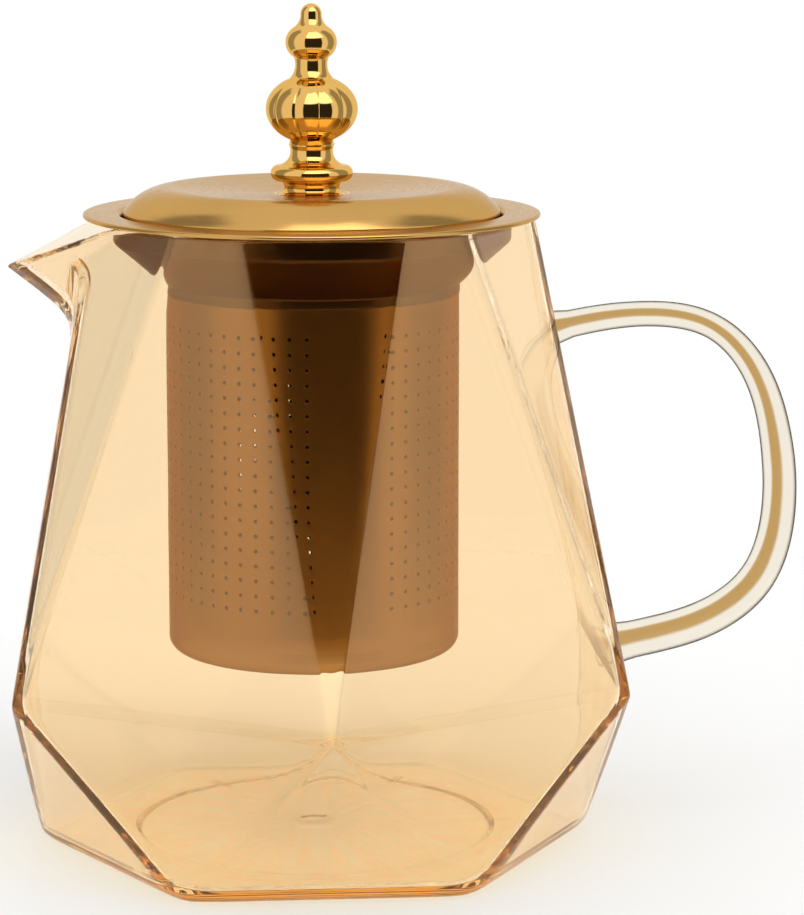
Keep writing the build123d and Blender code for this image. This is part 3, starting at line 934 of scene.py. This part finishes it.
def floor():
    """A round white table top that fades out into the white backdrop."""
    rings, around = 24, 96
    turn = circle_angles(around)
    points = [(0, 0, 0)]
    for ring in range(1, rings + 1):
        radius = FLOOR_R * ring / rings
        points += [(radius * math.cos(t), radius * math.sin(t), 0) for t in turn]
    faces = [(0, 1 + k, 1 + (k + 1) % around) for k in range(around)]
    for ring in range(rings - 1):
        here, there = 1 + ring * around, 1 + (ring + 1) * around
        for k in range(around):
            n = (k + 1) % around
            faces.append((here + k, there + k, there + n, here + n))
    mesh = bpy.data.meshes.new("floor")
    mesh.from_pydata(points, [], faces)
    plane = bpy.data.objects.new("floor", mesh)
    plane.location.z = POT_LOW.z * MM - 0.0004
    bpy.context.scene.collection.objects.link(plane)
    material, nodes = new_material("floor_white")
    place = object_position(nodes)
    grain = nodes.noise(place, 30.0)
    paper = nodes.add("ShaderNodeBsdfDiffuse", {"Color": nodes.mix_colour(grain, (0.93, 0.93, 0.925, 1),
                                                                         (0.95, 0.95, 0.945, 1))}).outputs[0]
    clear = nodes.add("ShaderNodeBsdfTransparent").outputs[0]
    edge = nodes.ramp(nodes.vector("LENGTH", place), FLOOR_R * 0.6, FLOOR_R)
    faded = nodes.add("ShaderNodeMixShader", {0: edge, 1: paper, 2: clear}).outputs[0]
    nodes.add("ShaderNodeOutputMaterial", {"Surface": faded})
    mesh.materials.append(material)


# (change to the light, its window: left, right, low, high and edge blur in degrees)
STUDIO = [
    (-0.97, (-28, 52, -60, 30, 2)),       # dark card
    (-0.6, (-125, -82, -70, 60, 5)),      # left flag
    (-0.6, (82, 125, -70, 60, 5)),        # right flag
    (1.6, (-24, 64, 33, 74, 3)),          # soft box
]


def studio_world():
    """A white studio that turns with the camera.

    A dark card stands round the camera, a soft box above it to the right, and a grey flag on each side
    draws the edges of the glass.
    """
    world = bpy.data.worlds.new("studio")
    bpy.context.scene.world = world
    world.use_nodes = True
    nodes = Nodes(world.node_tree)
    toward = nodes.add("ShaderNodeTexCoord").outputs["Generated"]
    right = nodes.add("ShaderNodeVectorTransform", {0: (1, 0, 0)}, vector_type="VECTOR",
                      convert_from="CAMERA", convert_to="WORLD").outputs[0]
    away = nodes.vector("CROSS_PRODUCT", (0, 0, 1), right)
    across = nodes.vector("DOT_PRODUCT", toward, right)
    depth = nodes.vector("DOT_PRODUCT", toward, away)
    up = nodes.add("ShaderNodeSeparateXYZ", {0: toward}).outputs[2]
    degrees = 180 / math.pi
    # 0 towards the camera, positive to its right as seen in the picture
    side = nodes.math("MULTIPLY", nodes.math("ARCTAN2", across, nodes.math("MULTIPLY", depth, -1.0)), degrees)
    height = nodes.math("MULTIPLY", nodes.math("ARCSINE", up), degrees)

    def patch(left_side, right_side, low, high, blur):
        """1 inside a window of directions in degrees, 0 outside, with soft edges."""
        inside = nodes.math("MULTIPLY", nodes.ramp(side, left_side - blur, left_side + blur),
                            nodes.ramp(side, right_side + blur, right_side - blur))
        inside = nodes.math("MULTIPLY", inside, nodes.ramp(height, low - blur, low + blur))
        return nodes.math("MULTIPLY", inside, nodes.ramp(height, high + blur, high - blur))

    light = 1.0
    for change, window in STUDIO:
        light = nodes.math("MULTIPLY_ADD", patch(*window), change, light)
    camera_ray = nodes.add("ShaderNodeLightPath").outputs["Is Camera Ray"]
    light = nodes.math("MAXIMUM", light, camera_ray)
    background = nodes.add("ShaderNodeBackground", {"Color": (1, 1, 1, 1), "Strength": light}).outputs[0]
    nodes.add("ShaderNodeOutputWorld", {"Surface": background})


CAMERA_AZIMUTH = -4.4       # degrees, 0 looks along +Y
CAMERA_PITCH = 10.1
CAMERA_DISTANCE = 0.7
CAMERA_AIM = (0.0181, 0.0, 0.07844)
CAMERA_LENS = 135.4


def camera():
    data = bpy.data.cameras.new("camera")
    data.lens = CAMERA_LENS
    data.sensor_width = 36.0
    data.clip_start = 0.05
    data.clip_end = 20.0
    view = bpy.data.objects.new("camera", data)
    azimuth, pitch = math.radians(CAMERA_AZIMUTH), math.radians(CAMERA_PITCH)
    level = math.cos(pitch)
    back = Vector((math.sin(azimuth) * level, -math.cos(azimuth) * level, math.sin(pitch)))
    view.location = Vector(CAMERA_AIM) + back * CAMERA_DISTANCE
    view.rotation_mode = "QUATERNION"
    view.rotation_quaternion = (-back).to_track_quat("-Z", "Y")
    bpy.context.scene.collection.objects.link(view)
    bpy.context.scene.camera = view


def light_paths():
    scene = bpy.context.scene
    scene.view_settings.view_transform = "Standard"
    scene.view_settings.look = "None"
    scene.cycles.max_bounces = 32
    scene.cycles.transmission_bounces = 32
    scene.cycles.glossy_bounces = 16
    scene.cycles.transparent_max_bounces = 32
    scene.cycles.caustics_reflective = False
    scene.cycles.caustics_refractive = False
    scene.cycles.use_denoising = True


pot_piece()
handle_piece()
collar_piece()
tube_piece()
dome_piece()
knob_piece()

CAD_LOOKS = {
    "infuser_base": BRONZE_SHEET,
    "lid_skirt": INNER_STEEL,
    "lid_seal": SILICONE,
    "knob_screw": INNER_STEEL,
    "knob_washer": INNER_STEEL,
}
for name, material in CAD_LOOKS.items():
    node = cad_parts[name]
    node.data.materials.clear()
    node.data.materials.append(material)

floor()
studio_world()
camera()
light_paths()
